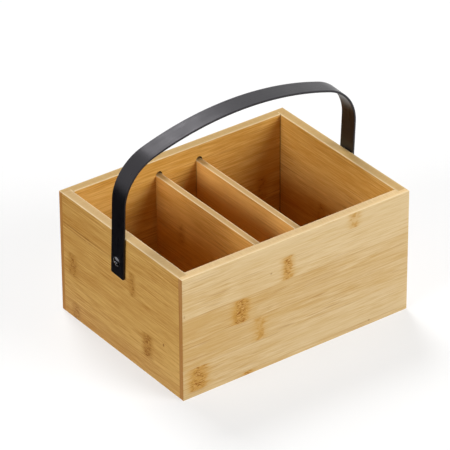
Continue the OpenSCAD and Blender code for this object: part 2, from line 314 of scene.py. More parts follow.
def bamboo_group():
    """Laminated bamboo as a solid pattern in millimetres: x along the grain, y across the strips, z below the face.

    Each strip takes the tone that it is given and its own stretch of fibres. Fibres are noise drawn out along the
    grain, so that they show as streaks on the sides and as dots on the ends. The middle ply's grain runs across.
    """
    inputs = {"Board": "vector", "Facing": "vector", "Seed": "value", "Strip Width": "value", "Strip Start": "value"}
    inputs.update({"Ply": "value", "Thickness": "value", "Tone": "value", "Knuckle": "value", "Around": "value"})
    inputs.update({"Fleck": "value", "Groove": "value", "Pale": "colour", "Honey": "colour", "Streak": "colour", "Routed": "colour"})
    inputs.update({"Knuckle Tint": "colour", "Knuckle Core": "colour", "End Grain": "colour"})
    inputs.update({"Sawn": "colour", "Sanded Edge": "colour"})
    outputs = {"Color": "colour", "Gloss": "value", "Height": "value"}
    tree, given, end = new_group("Bamboo Board", inputs, outputs)
    along, across, through = tree.separate(given["Board"])

    # Middle ply, where grain and strips change places
    below = tree.math("GREATER_THAN", through, given["Ply"])
    far_ply = tree.math("SUBTRACT", given["Thickness"], given["Ply"])
    beyond = tree.math("GREATER_THAN", through, far_ply)
    core = tree.math("SUBTRACT", below, beyond)
    turned = tree.combine(across, along, through)
    laid = tree.node("ShaderNodeMix", data_type="VECTOR")
    tree.feed(laid.inputs[0], core)
    tree.feed(laid.inputs[4], given["Board"])
    tree.feed(laid.inputs[5], turned)
    grain, cross, depth = tree.separate(laid.outputs[1])

    # Strip number, its own stretch of fibres and the distance to its glue line
    counted = tree.math("DIVIDE", tree.math("SUBTRACT", cross, given["Strip Start"]), given["Strip Width"])
    number = tree.math("FLOOR", counted)
    layer = tree.math("MULTIPLY_ADD", tree.math("ADD", below, beyond), 7.0, given["Seed"])
    own = tree.node("ShaderNodeTexWhiteNoise", {"Vector": tree.combine(number, layer, 0.5)}, noise_dimensions="3D")
    from_middle = tree.math("ABSOLUTE", tree.math("SUBTRACT", tree.math("FRACT", counted), 0.5))
    to_line = tree.math("MULTIPLY", tree.math("SUBTRACT", 0.5, from_middle), given["Strip Width"])

    # Fibres, bent where a knuckle is, and stronger in some parts of a strip than in others
    start = tree.math("MULTIPLY_ADD", own.outputs["Value"], 900.0, tree.math("MULTIPLY", layer, 311.0))
    waver = tree.noise(tree.vector("MULTIPLY", given["Board"], (0.16, 0.16, 0.16)), detail=1.0)
    bend = tree.math("MULTIPLY", tree.math("SUBTRACT", waver, 0.5), tree.math("MULTIPLY", given["Knuckle"], 7.0))
    fibre = tree.combine(tree.math("ADD", grain, start), tree.math("ADD", cross, bend), depth)
    broad = tree.noise(tree.vector("MULTIPLY", fibre, (0.0075, 0.075, 0.075)), detail=2.0)
    middling = tree.noise(tree.vector("MULTIPLY", fibre, (0.022, 0.42, 0.42)), detail=3.0, roughness=0.6)
    fine = tree.noise(tree.vector("MULTIPLY", fibre, (0.035, 0.85, 0.85)), detail=4.0, roughness=0.65)
    bundle = tree.noise(tree.vector("MULTIPLY", fibre, (0.022, 0.75, 0.75)), detail=2.0, roughness=0.55)
    dashes = tree.noise(tree.vector("MULTIPLY", fibre, (0.22, 1.0, 1.0)), detail=2.0, roughness=0.7)
    lively = tree.ramp(tree.noise(tree.vector("MULTIPLY", fibre, (0.011, 0.05, 0.05)), detail=1.0), 0.35, 0.65, 0.25)
    lively = tree.math("MAXIMUM", lively, given["Around"])
    lined = tree.math("MULTIPLY", lively, tree.ramp(given["Tone"], 0.15, 0.6, 0.55, 1.0))
    dark_line = tree.math("MULTIPLY", tree.ramp(bundle, 0.55, 0.68), lined)
    glue_line = tree.math("MULTIPLY", tree.ramp(to_line, 0.6, 0.1), lively)

    # Colour of the strips
    tone = tree.math("MULTIPLY_ADD", tree.math("SUBTRACT", broad, 0.5), 1.0, given["Tone"])
    streaky = tree.math("MULTIPLY", tree.math("SUBTRACT", middling, 0.5), tree.math("MULTIPLY_ADD", lively, 0.8, 0.4))
    hairs = tree.math("MULTIPLY", tree.math("SUBTRACT", fine, 0.5), tree.math("MULTIPLY_ADD", lively, 1.9, 1.4))
    tone = tree.math("ADD", tree.math("ADD", tone, streaky), hairs, clamp=True)
    colour = tree.mix(tone, given["Pale"], given["Honey"])
    colour = tree.mix(tree.math("MULTIPLY", dark_line, 0.45), colour, given["Streak"])
    colour = tree.mix(tree.math("MULTIPLY", glue_line, 0.22), colour, given["Streak"])
    golden = tree.ramp(given["Knuckle"], 0.0, 0.5, 0.0, 0.85)
    colour = tree.mix(golden, colour, given["Knuckle Tint"])
    marked = tree.ramp(given["Knuckle"], 0.2, 0.8)
    frayed = tree.math("MULTIPLY", marked, tree.ramp(dashes, 0.45, 0.57))
    colour = tree.mix(tree.math("MULTIPLY", frayed, 0.95), colour, given["Knuckle Core"])
    bright = tree.math("MULTIPLY", marked, tree.ramp(dashes, 0.46, 0.36, 0.0, 0.3))
    colour = tree.mix(bright, colour, given["Pale"])
    colour = tree.mix(tree.math("MULTIPLY", given["Fleck"], 0.9, clamp=True), colour, given["Knuckle Core"])

    # Ends of fibres, painted shade in the grooves and dark joint lines, sawn edges with the middle ply's fibres across
    # them, and rounded corners, sanded paler and with a painted highlight
    facing_along, facing_across, facing_through = tree.separate(given["Facing"])
    ends = tree.ramp(facing_along, 0.6, 0.9)
    dots = tree.ramp(fine, 0.40, 0.62, 0.85, 1.0)
    colour = tree.mix(tree.math("MULTIPLY", ends, dots), colour, given["End Grain"])
    # Painted shade in the grooves, and the dark joint lines
    colour = tree.mix(given["Groove"], colour, given["Routed"])
    rim = tree.ramp(facing_across, 0.35, 0.75)
    ticks = tree.noise(tree.vector("MULTIPLY", given["Board"], (0.8, 0.05, 0.07)), detail=2.0, roughness=0.6)
    ticked = tree.math("MULTIPLY", tree.ramp(ticks, 0.65, 0.35, 0.0, 0.2), core)
    sawn = tree.mix(ticked, given["Sawn"], given["Streak"])
    colour = tree.mix(tree.math("MULTIPLY", rim, 0.9), colour, sawn)
    # Painted highlight and paler sanding on the rounded edges of the rims
    flat = tree.math("MAXIMUM", tree.math("MAXIMUM", facing_along, facing_across), facing_through)
    to_face = tree.math("MINIMUM", through, tree.math("SUBTRACT", given["Thickness"], through))
    eased = tree.math("MAXIMUM", tree.ramp(flat, 0.992, 0.9), tree.ramp(to_face, 1.8, 0.6, 0.0, 0.7))
    colour = tree.mix(tree.math("MULTIPLY", tree.math("MULTIPLY", eased, rim), 0.6), colour, given["Sanded Edge"])
    tree.feed(end["Color"], colour)

    rough = tree.math("MULTIPLY_ADD", tree.math("SUBTRACT", fine, 0.5), 0.22, tree.math("MULTIPLY", frayed, 0.08))
    rough = tree.math("MULTIPLY_ADD", ends, 0.16, rough)
    tree.feed(end["Gloss"], rough)
    height = tree.math("MULTIPLY_ADD", fine, 0.55, tree.math("MULTIPLY", middling, 0.45))
    height = tree.math("MULTIPLY_ADD", dark_line, -0.25, height)
    height = tree.math("MULTIPLY_ADD", glue_line, -0.35, height)
    height = tree.math("MULTIPLY_ADD", frayed, -0.3, height)
    tree.feed(end["Height"], height)
    return tree.tree


def shared_group(name, build):
    """The node group of that name, built the first time it is asked for."""
    return bpy.data.node_groups.get(name) or build()


# Strips and knuckle marks of each board. Tones run from the lowest strip upwards, 0 pale and 1 honey, and the lowest
# strip's number is given first. A knuckle is a strip's number, the place along the board in mm, its half length in mm,
# its strength and its face, where 0 is the board's outer face and 1 its inner face. A fleck is a place along and
# across the outer face, a half length, a half height and a strength
BOARDS = {
    "front_panel": {
        "axes": "xzy", "finish": "wall", "seed": 3.0, "strip_start": 5.0,
        "lowest": -1, "tones": (0.46, 0.32, 0.62, 0.70, 0.27, 0.22), "drift": -0.16,
        "flecks": [(77.6, 4.6, 0.9, 0.9, 1.0), (-28, 92, 1.0, 0.8, 0.7), (-118, 83, 0.7, 1.5, 0.8)],
        "knuckles": [
            (4, 60, 8, 0.45, 0), (3, -10.4, 6.5, 0.75, 0), (2, -60, 8.5, 1.0, 0), (1, -40, 9, 0.45, 0),
            (0, -104, 11, 0.85, 0), (-1, -52, 6, 0.7, 0), (1, 58, 7, 0.7, 1), (3, 82, 7, 0.7, 1),
        ],
    },
    "back_panel": {
        "axes": "xzy", "finish": "inside", "seed": 8.0, "strip_start": 14.0,
        "lowest": -1, "tones": (0.68, 0.78, 0.58, 0.80, 0.64), "drift": 0.05,
        "knuckles": [
            (0, 72, 8, 0.8, 0), (1, -33, 8, 0.9, 0), (2, 22, 7, 0.7, 0), (3, -84, 8, 0.9, 0), (1, 90, 7, 0.6, 1),
            (2, -62, 7, 0.5, 1),
        ],
    },
    "left_end_panel": {
        "axes": "yzx", "finish": "end", "seed": 15.0, "strip_start": 17.0,
        "lowest": -1, "tones": (0.54, 0.32, 0.42, 0.45, 0.48), "drift": 0.12,
        "flecks": [(-62.4, 42, 0.9, 1.4, 2.0), (56, 91.5, 38, 1.0, 0.8), (52, 88.6, 30, 0.8, 0.6)],
        "knuckles": [
            (0, -39, 7.5, 1.0, 0), (1, 71, 7.5, 0.85, 0), (2, -17.6, 5, 0.75, 0), (-1, 68, 6.5, 1.0, 0),
            (1, -40, 7, 0.6, 1),
        ],
    },
    "right_end_panel": {
        "axes": "yzx", "finish": "inside", "seed": 21.0, "strip_start": 9.0,
        "lowest": -1, "tones": (0.68, 0.56, 0.74, 0.57, 0.64),
        "knuckles": [
            (0, 34, 8, 0.8, 0), (1, -52, 7, 0.7, 0), (2, 18, 8, 0.9, 0), (3, -30, 7, 0.7, 0), (1, 20, 7, 0.6, 1),
        ],
    },
    "bottom_panel": {
        "axes": "xyz", "finish": "inside", "seed": 34.0, "strip_start": -6.0,
        "lowest": -4, "tones": (0.50, 0.62, 0.40, 0.55, 0.68, 0.46, 0.58, 0.42),
        "knuckles": [(-3, 70, 8, 0.7, 0), (-1, -20, 8, 0.8, 0), (0, 44, 7, 0.7, 0), (2, -75, 8, 0.8, 0)],
    },
    "left_divider": {
        "axes": "yzx", "finish": "divider", "seed": 41.0, "strip_start": 2.0,
        "lowest": 0, "tones": (0.55, 0.70, 0.46, 0.60, 0.50),
        "knuckles": [(1, -36, 7, 0.4, 0), (2, 44, 7, 0.4, 0)],
    },
    "right_divider": {
        "axes": "yzx", "finish": "divider", "seed": 55.0, "strip_start": 10.0,
        "lowest": 0, "tones": (0.32, 0.40, 0.18, 0.22),
        "knuckles": [(3, 60, 6, 0.6, 0), (1, 8, 7, 0.6, 0)],
    },
}


def groove_shade_mask(tree, place_on_board, thickness):
    """1 inside the two stopped grooves of a long wall, where shade is painted, from the dividers' places, and 0
    elsewhere.
    """
    along, across, below = tree.separate(place_on_board)
    low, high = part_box("right_divider")
    middle, half = (low.x + high.x) / 2 / MM, (high.x - low.x) / 2 / MM
    aside = tree.math("ABSOLUTE", tree.math("SUBTRACT", tree.math("ABSOLUTE", along), middle))
    inside = tree.math("LESS_THAN", aside, half + 0.4)
    sunk = tree.math("LESS_THAN", below, float(thickness) - 0.25)
    under_rim = tree.math("LESS_THAN", across, high.z / MM + half + 1.0)
    deep = tree.math("GREATER_THAN", below, float(thickness) / 2)
    return tree.math("MULTIPLY", tree.math("MULTIPLY", inside, sunk), tree.math("MULTIPLY", under_rim, deep))


def joint_mask(tree, place_on_board, inner, first):
    """A thin line on the inside where a board meets its neighbours, inner from its middle and first below its face."""
    along, across, below = tree.separate(place_on_board)
    aside = tree.math("ABSOLUTE", tree.math("SUBTRACT", tree.math("ABSOLUTE", along), inner))
    return tree.math("MULTIPLY", tree.ramp(aside, 1.2, 0.3, 0.0, 0.5), tree.math("GREATER_THAN", below, first))


def board_material(name, bamboo):
    """Bamboo for one board: its own strips and knuckles, laid along the board and read from its face inwards."""
    board = BOARDS[name]
    low, high = (np.array(corner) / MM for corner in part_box(name))
    order = ["xyz".index(axis) for axis in board["axes"]]
    middle, half = (low + high) / 2, (high - low) / 2
    outside = np.where(np.abs(middle) > half, np.sign(middle), 0)[order[2]]
    thickness = 2 * half[order[2]]
    wall = board["finish"] == "wall" or outside
    ply = (bamboo.wall_ply if wall else bamboo.divider_ply) / MM

    material, tree, shader = new_material("bamboo_" + name)
    place = tree.node("ShaderNodeTexCoord")
    turned = tree.separate(tree.vector("SCALE", place.outputs["Object"]))
    turned[0].node.inputs[0].links[0].from_node.inputs["Scale"].default_value = 1 / MM
    facing = tree.separate(tree.vector("ABSOLUTE", place.outputs["Normal"]))
    along, across, through = (turned[axis] for axis in order)
    if outside:
        face = high[order[2]] if outside > 0 else -low[order[2]]
        below = tree.math("SUBTRACT", float(face), tree.math("MULTIPLY", through, float(outside)))
    else:
        aside = tree.math("ABSOLUTE", tree.math("SUBTRACT", through, float(middle[order[2]])))
        below = tree.math("SUBTRACT", float(half[order[2]]), aside)
    place_on_board = tree.combine(along, across, below)

    # Dark joint lines at the inside corners, and painted shade in the stopped grooves
    joint_and_shade_mask = 0.0
    if board["axes"] == "xzy":
        inner = -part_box("left_end_panel")[1].x / MM
        joints = joint_mask(tree, place_on_board, inner, float(thickness) / 2)
        joint_and_shade_mask = tree.math("MAXIMUM", joints, groove_shade_mask(tree, place_on_board, thickness))
    elif board["axes"] == "yzx":
        inner = -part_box("front_panel")[1].y / MM
        joint_and_shade_mask = joint_mask(tree, place_on_board, inner, float(thickness) / 2 if outside else -1.0)

    knuckles, around, flecks = 0.0, 0.0, 0.0
    strip_width = bamboo.strip_width / MM
    tones = board["tones"]
    bottom = board["strip_start"] + board["lowest"] * strip_width
    risen = tree.math("DIVIDE", tree.math("SUBTRACT", across, bottom), len(tones) * strip_width)
    tone = tree.steps(risen, [strip / len(tones) for strip in range(len(tones))], tones)
    tone = tree.math("MULTIPLY_ADD", along, board.get("drift", 0.0) / float(half[order[0]]), tone)
    for strip, where, half_length, strength, side in board["knuckles"]:
        wires = {"Board": place_on_board, "Along": where, "Half Length": half_length, "Strength": strength}
        wires["Across"] = board["strip_start"] + (strip + 0.5) * strip_width
        wires["Half Height"] = strip_width / 2
        wires["Through"] = float(thickness) * side if outside else 0.0
        mark = tree.group(shared_group("Bamboo Knuckle", knuckle_group), wires)
        knuckles = tree.math("MAXIMUM", mark["Mask"], knuckles)
        around = tree.math("MAXIMUM", mark["Around"], around)
    for where, up, half_length, half_height, strength in board.get("flecks", ()):
        wires = {"Board": place_on_board, "Along": where, "Across": up, "Half Length": half_length}
        wires.update({"Half Height": half_height, "Through": 0.0, "Strength": strength})
        mark = tree.group(shared_group("Bamboo Knuckle", knuckle_group), wires)
        flecks = tree.math("MAXIMUM", mark["Mask"], flecks)

    wires = {
        "Board": place_on_board,
        "Facing": tree.combine(*(facing[axis] for axis in order)),
        "Seed": board["seed"],
        "Strip Width": strip_width,
        "Strip Start": board["strip_start"],
        "Ply": ply,
        "Thickness": float(thickness) if outside else 1000.0,
        "Tone": tone,
        "Knuckle": knuckles,
        "Around": around,
        "Fleck": flecks,
        "Pale": linear(getattr(bamboo, board["finish"] + "_pale")),
        "Honey": linear(getattr(bamboo, board["finish"] + "_honey")),
        "Streak": linear(bamboo.streak),
        "Knuckle Tint": linear(getattr(bamboo, board["finish"] + "_knuckle")),
        "Knuckle Core": linear(bamboo.knuckle_core),
        "End Grain": linear(bamboo.end_grain),
        "Sawn": linear(getattr(bamboo, board["finish"] + "_sawn")),
        "Sanded Edge": linear(bamboo.sanded_edge),
        "Groove": joint_and_shade_mask,
        "Routed": linear(bamboo.routed),
    }
    look = tree.group(shared_group("Bamboo Board", bamboo_group), wires)
    tree.feed(shader.inputs["Base Color"], look["Color"])
    tree.feed(shader.inputs["Roughness"], tree.math("ADD", look["Gloss"], bamboo.roughness, clamp=True))
    bump = tree.node("ShaderNodeBump", {"Height": look["Height"], "Strength": 0.5, "Distance": 0.06 * MM})
    tree.feed(shader.inputs["Normal"], bump.outputs[0])
    shader.inputs["Specular IOR Level"].default_value = 0.25
    return material


def finish_board(name, bamboo):
    """Gives a board's CAD node its own bamboo."""
    frame["nodes"][name].material_slots[0].material = board_material(name, bamboo)


def quads(rows, columns, first, closed_rows=False, closed_columns=False):
    """Corner numbers of the quads of a grid of points whose first point has the number first."""
    i = np.arange(rows if closed_rows else rows - 1)
    j = np.arange(columns if closed_columns else columns - 1)
    i, j = np.meshgrid(i, j, indexing="ij")
    over, on = (i + 1) % rows, (j + 1) % columns
    corners = (i * columns + j, over * columns + j, over * columns + on, i * columns + on)
    return np.stack(corners, axis=-1).reshape(-1, 4) + first


def grid_piece(name, grids, body, material, nodes):
    """One closed piece from grids of points that share their borders.

    Points that fall together are welded, quads that lose their width are dropped or become triangles, and faces are
    turned outwards. Each grid is (points, closed over rows, closed over columns).
    """
    places, faces, count = [], [], 0
    for points, closed_rows, closed_columns in grids:
        rows, columns = points.shape[:2]
        faces.append(quads(rows, columns, count, closed_rows, closed_columns))
        places.append(points.reshape(-1, 3))
        count += rows * columns
    places, faces = np.concatenate(places), np.concatenate(faces)
    weld_size = 1e-7
    _, kept, welded = np.unique(np.round(places / weld_size), axis=0, return_index=True, return_inverse=True)
    faces = welded.reshape(-1)[faces]
    mesh = bpy.data.meshes.new(name)
    mesh.from_pydata(places[kept].tolist(), [], [list(dict.fromkeys(face)) for face in faces.tolist()])
    work = bmesh.new()
    work.from_mesh(mesh)
    bmesh.ops.delete(work, geom=[face for face in work.faces if face.calc_area() < 1e-14], context="FACES_ONLY")
    bmesh.ops.recalc_face_normals(work, faces=work.faces)
    work.to_mesh(mesh)
    work.free()
    mesh.polygons.foreach_set("use_smooth", np.ones(len(mesh.polygons), dtype=bool))
    mesh.materials.append(material)
    piece = bpy.data.objects.new(name, mesh)
    bpy.context.scene.collection.objects.link(piece)
    shading = piece.modifiers.new("Even shading", "WEIGHTED_NORMAL")
    shading.weight = 80
    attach(piece, body)
    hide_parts(*nodes)
    return piece


def rounded_edge(radius, height, steps=4):
    """Edge of a plate, from its upper to its lower face: (inset from the outline, height above the middle)."""
    turn = np.linspace(0, math.pi / 2, steps + 1)
    upper = np.stack([radius * (1 - np.sin(turn)), height / 2 - radius + radius * np.cos(turn)], axis=-1)
    return np.concatenate([upper, upper[::-1] * (1, -1)])


def strap_middle(reach, strap):
    """Middle line of the bent strap, by the length from the top of the crown: (places, outward directions) in x, z.

    The outward direction turns evenly along the crown and faster round the bend, and then stays level down the leg.
    The place is the crown's and the bend's radii laid off along it, less what runs down the leg.
    """
    half = strap.thickness / 2
    crown, bend = strap.crown_radius - half, strap.bend_radius - half
    span = crown - bend
    side_turn = math.asin((STRAP_BOX[1].x - strap.bend_radius) / span)
    crown_z = BOX_HIGH.z + strap.rise - strap.crown_radius
    away = np.abs(reach)
    crown_turn = np.minimum(away / crown, side_turn)
    bend_turn = np.clip((away - crown * side_turn) / bend, 0, math.pi / 2 - side_turn)
    leg = np.maximum(away - crown * side_turn - bend * (math.pi / 2 - side_turn), 0)
    turn = crown_turn + bend_turn
    side = np.sign(reach)
    place = np.stack([
        side * (span * np.sin(crown_turn) + bend * np.sin(turn)),
        crown_z + span * np.cos(crown_turn) + bend * np.cos(turn) - leg,
    ], axis=-1)
    outward = np.stack([side * np.sin(turn), np.cos(turn)], axis=-1)
    return place, outward


def strap_reach(strap):
    """(length from the top of the crown to a pivot, length to the end), along the middle of the strap."""
    half = strap.thickness / 2
    crown, bend = strap.crown_radius - half, strap.bend_radius - half
    side_turn = math.asin((STRAP_BOX[1].x - strap.bend_radius) / (crown - bend))
    crown_z = BOX_HIGH.z + strap.rise - strap.crown_radius
    bend_z = crown_z + (crown - bend) * math.cos(side_turn)
    to_bend_end = crown * side_turn + bend * (math.pi / 2 - side_turn)
    to_pivot = to_bend_end + bend_z - PIVOT.z
    return to_pivot, to_pivot + strap.tail


def bent(blank, strap):
    """Flat blank, as (length, width, height) points, bent to the strap's curve and leaned about the pivots."""
    place, outward = strap_middle(blank[..., 0], strap)
    x, z = (place[..., axis] + blank[..., 2] * outward[..., axis] for axis in (0, 1))
    y = blank[..., 1]
    rise = z - PIVOT.z
    turn = (math.cos(strap.lean), math.sin(strap.lean))
    return np.stack([x, y * turn[0] - rise * turn[1], PIVOT.z + y * turn[1] + rise * turn[0]], axis=-1)


def strap_grids(strap):
    """The strap's blank as grids: two faces, each with a ruled patch from the hole to the outline at both ends,
    a rounded edge carried all the way round the outline, and a rounded rim in each hole."""
    half_w, half_t = strap.width / 2, strap.thickness / 2
    to_pivot, to_end = strap_reach(strap)
    seam = to_pivot - 12 * MM
    r, edge = strap.tail_radius, strap.edge_radius

    # Outline of one end from the seam round the tail, and its outward directions
    side_x = np.linspace(seam, to_end - r, 16)
    turn = np.linspace(-math.pi / 2, 0, 6)
    corner = np.stack([to_end - r + r * np.cos(turn), -half_w + r + r * np.sin(turn)], axis=-1)
    lower = np.concatenate([np.stack([side_x[:-1], np.full(15, -half_w)], axis=-1), corner])
    lower_out = np.concatenate([np.tile((0.0, -1.0), (15, 1)), np.stack([np.cos(turn), np.sin(turn)], axis=-1)])
    end_y = np.linspace(-half_w + r, half_w - r, 9)[1:-1]
    end = np.stack([np.full(len(end_y), to_end), end_y], axis=-1)
    mirror = (1, -1)
    outline = np.concatenate([lower, end, lower[::-1] * mirror])
    out = np.concatenate([lower_out, np.tile((1.0, 0.0), (len(end), 1)), lower_out[::-1] * mirror])

    # Seam across the strap where the end patch meets the long strip
    columns = np.linspace(half_w - edge, -half_w + edge, 13)
    seam_points = np.stack([np.full(11, seam), columns[1:-1]], axis=-1)
    border = np.concatenate([outline - out * edge, seam_points])
    centre = np.array([to_pivot, 0.0])
    ray = border - centre
    ray = ray / np.linalg.norm(ray, axis=-1, keepdims=True)
    rim = 0.15 * MM
    hole_edge = centre + ray * (strap.hole / 2 + rim)
    step = np.array([0, 0.2, 0.5, 1])[:, None, None]
    patch = hole_edge + step * (border - hole_edge)

    bore = rounded_edge(rim, strap.thickness, 2)
    bore_points = centre + ray[None] * (strap.hole / 2 + bore[:, 0, None, None])
    bore_grid = np.concatenate([bore_points, np.broadcast_to(bore[:, 1, None, None], bore_points.shape[:2] + (1,))], -1)

    rows = np.linspace(seam, -seam, 361)
    strip = np.stack(np.meshgrid(rows, columns, indexing="ij"), axis=-1)

    # Outline of the whole blank: one end, one long side, the other end and the other side
    side = np.stack([rows[1:-1], np.full(359, half_w)], axis=-1)
    side_out = np.tile((0.0, 1.0), (359, 1))
    loop = np.concatenate([outline, side, -outline, -side])
    loop_out = np.concatenate([out, side_out, -out, -side_out])
    profile = rounded_edge(edge, strap.thickness)
    edge_points = loop[:, None] - loop_out[:, None] * profile[None, :, :1]
    heights = np.broadcast_to(profile[None, :, 1:], edge_points.shape[:2] + (1,))
    edge_grid = np.concatenate([edge_points, heights], axis=-1)

    def at(flat, height):
        return np.concatenate([flat, np.full(flat.shape[:2] + (1,), height)], axis=-1)

    turned = np.array([-1, -1, 1])
    grids = [(edge_grid, True, False)]
    for height in (half_t, -half_t):
        grids.append((at(strip, height), False, False))
        grids += [(at(patch, height), False, True), (at(patch, height) * turned, False, True)]
    grids += [(bore_grid, False, True), (bore_grid * turned, False, True)]
    return [(bent(points, strap), over, on) for points, over, on in grids]


def coat_group():
    """Powder coat: a fine orange peel in the height, and a faint cloudiness in the gloss."""
    outputs = {"Cloud": "value", "Peel": "value"}
    tree, given, end = new_group("Powder Coat", {"Place": "vector", "Grain": "value"}, outputs)
    tree.feed(end["Peel"], tree.noise(given["Place"], tree.math("DIVIDE", 1.0, given["Grain"]), detail=2.0))
    cloud = tree.noise(given["Place"], 90.0, detail=3.0)
    tree.feed(end["Cloud"], tree.math("SUBTRACT", cloud, 0.5))
    return tree.tree


def drawn_streaks(tree, place, lean):
    """Streaks along a strap that leans to the front, from about -0.2 to 0.2, drawn out in its own plane."""
    x, y, z = tree.separate(place)
    across = tree.math("MULTIPLY_ADD", z, math.sin(lean), tree.math("MULTIPLY", y, math.cos(lean)))
    drawn = tree.vector("MULTIPLY", tree.combine(x, across, z), (14, 800, 14))
    return tree.math("SUBTRACT", tree.noise(drawn, detail=3.0, roughness=0.6), 0.5)


def coated_material(name, colour, roughness, grain, metallic=0.0, specular=0.5, variation=0.2, lean=None):
    """A coated or moulded surface: plain colour with a painted highlight on the peel's crests, clouded roughness and a
    fine peel, and streaks if it leans.
    """
    material, tree, shader = new_material(name)
    place = tree.node("ShaderNodeTexCoord").outputs["Object"]
    look = tree.group(shared_group("Powder Coat", coat_group), {"Place": place, "Grain": grain})
    dark = linear(colour)
    # Painted highlight: the colour turns paler on the crests of the peel
    pale = tuple(min(1.0, 1.5 * value + 0.004) for value in dark[:3]) + (1.0,)
    tree.feed(shader.inputs["Base Color"], tree.mix(tree.ramp(look["Peel"], 0.45, 0.75), dark, pale))
    rough = tree.math("MULTIPLY_ADD", look["Cloud"], variation, roughness, clamp=True)
    if lean is not None:
        rough = tree.math("MULTIPLY_ADD", drawn_streaks(tree, place, lean), 0.35, rough, clamp=True)
    tree.feed(shader.inputs["Roughness"], rough)
    bump = tree.node("ShaderNodeBump", {"Height": look["Peel"], "Strength": 0.25, "Distance": 0.02 * MM})
    tree.feed(shader.inputs["Normal"], bump.outputs[0])
    shader.inputs["Metallic"].default_value = metallic
    shader.inputs["Specular IOR Level"].default_value = specular
    return material


def ridge(phase):
    """Thread form: 0 at the roots and 1 at the crests, with straight flanks and narrow flats."""
    wave = np.abs(2 * (phase - np.floor(phase)) - 1)
    return np.clip(1.5 * wave - 0.25, 0, 1)


def revolved(profile, turns):
    """Profile of (radius, height) rows turned about z through the angles turns."""
    radius, height = profile[:, 0, None], profile[:, 1, None]
    points = (radius * np.cos(turns), radius * np.sin(turns), np.broadcast_to(height, radius.shape[:1] + turns.shape))
    return np.stack(points, axis=-1)


def on_pivot(points, side):
    """Places a turned piece on a pivot: its z axis points out of the box, with z = 0 on the end panel's face."""
    x, y, z = (points[..., axis] for axis in range(3))
    return np.stack([side * (BOX_HIGH.x + z), side * y, PIVOT.z - x], axis=-1)


def screw_head(pivots, seat):
    """Domed head with a cross recess, as a height over a square grid that opens out into a disc.

    The grid stays square over the recess, so that its lines follow the recess's walls, and turns into rings towards
    the rim. The recess is deepest at the middle, has steep walls along its arms and slopes up at their ends.
    """
    rim_r = pivots.head_diameter / 2
    half_w, half_l = pivots.recess_width / 2, pivots.recess_length / 2
    wall, slope = 0.13 * MM, 0.75 * MM
    inner = np.array([0, 0.5 * (half_w - wall), half_w - wall, half_w, half_w + 0.07 * MM])
    arms = np.linspace(half_w + 0.3 * MM, half_l - slope, 4)
    tips = np.linspace(half_l - slope, half_l, 4)[1:]
    square = half_l + 0.15 * MM
    outer = np.concatenate([[square], square + (rim_r - square) * np.array([0.2, 0.4, 0.6, 0.78, 0.9, 0.97, 1])])
    steps = np.concatenate([inner, arms, tips, outer])
    line = np.concatenate([-steps[:0:-1], steps])
    p, q = np.meshgrid(line, line, indexing="ij")
    ring = np.maximum(np.abs(p), np.abs(q))
    reach = np.maximum(np.hypot(p, q), 1e-12)
    opened = np.clip((ring - square) / (rim_r - square), 0, 1)
    grow = 1 + opened * (ring / reach - 1)
    p, q = p * grow, q * grow

    rim_h = pivots.head_height / 3
    dome_h = pivots.head_height - rim_h
    dome_r = (rim_r ** 2 + dome_h ** 2) / (2 * dome_h)
    dome = rim_h + np.sqrt(np.maximum(dome_r ** 2 - p ** 2 - q ** 2, 0)) - (dome_r - dome_h)
    beside, beyond = np.minimum(np.abs(p), np.abs(q)), np.maximum(np.abs(p), np.abs(q))
    walls = np.clip((half_w - beside) / wall, 0, 1)
    ends = np.clip((half_l - beyond) / slope, 0, 1)
    pit = np.clip((half_w - beyond) / half_w, 0, 1)
    depth = walls * ends * (pivots.recess_depth * (0.82 + 0.18 * pit))
    return np.stack([p, q, seat + dome - depth], axis=-1)


def screw_grids(pivots, side):
    """A pivot screw: the head's grid, and its underside, shoulder and helical thread turned about the same axis."""
    seat = STRAP_BOX[1].x - BOX_HIGH.x + pivots.play
    head = screw_head(pivots, seat)
    border = np.concatenate([head[0, :-1], head[:-1, -1], head[-1, :0:-1], head[:0:-1, 0]])
    turns = np.arctan2(border[:, 1], border[:, 0])
    rim_r, shoulder_r = pivots.head_diameter / 2, pivots.shoulder_diameter / 2
    thread_r = pivots.thread_diameter / 2
    chamfer = 0.15 * MM
    body = np.array([
        (rim_r, seat + pivots.head_height / 3),
        (rim_r, seat + chamfer),
        (rim_r - chamfer, seat),
        (shoulder_r + chamfer, seat),
        (shoulder_r, seat - chamfer),
        (shoulder_r, chamfer),
        (shoulder_r - chamfer, 0.0),
        (thread_r, 0.0),
    ])
    thread_l = BOX_HIGH.x - SCREW_BOX[0].x
    rows = np.linspace(0, thread_l, int(thread_l / pivots.thread_pitch * 6) + 1)[:, None]
    run_out = np.clip(np.minimum(rows, thread_l - rows) / (0.6 * pivots.thread_pitch), 0, 1)
    cut = 0.3 * MM * (1 - ridge(rows / pivots.thread_pitch + turns / (2 * math.pi))) * run_out
    tip = np.clip((rows - thread_l + 0.5 * MM) / (0.5 * MM), 0, 1) * 0.5 * MM
    radius = thread_r - np.maximum(cut, tip)
    thread = np.stack([radius * np.cos(turns), radius * np.sin(turns), np.broadcast_to(-rows, radius.shape)], axis=-1)
    end = np.stack([thread[-1], thread[-1] * (0, 0, 1)])
    grids = [(head, False, False), (revolved(body, turns), False, True), (thread, False, True), (end, False, True)]
    return [(on_pivot(points, side), over, on) for points, over, on in grids]


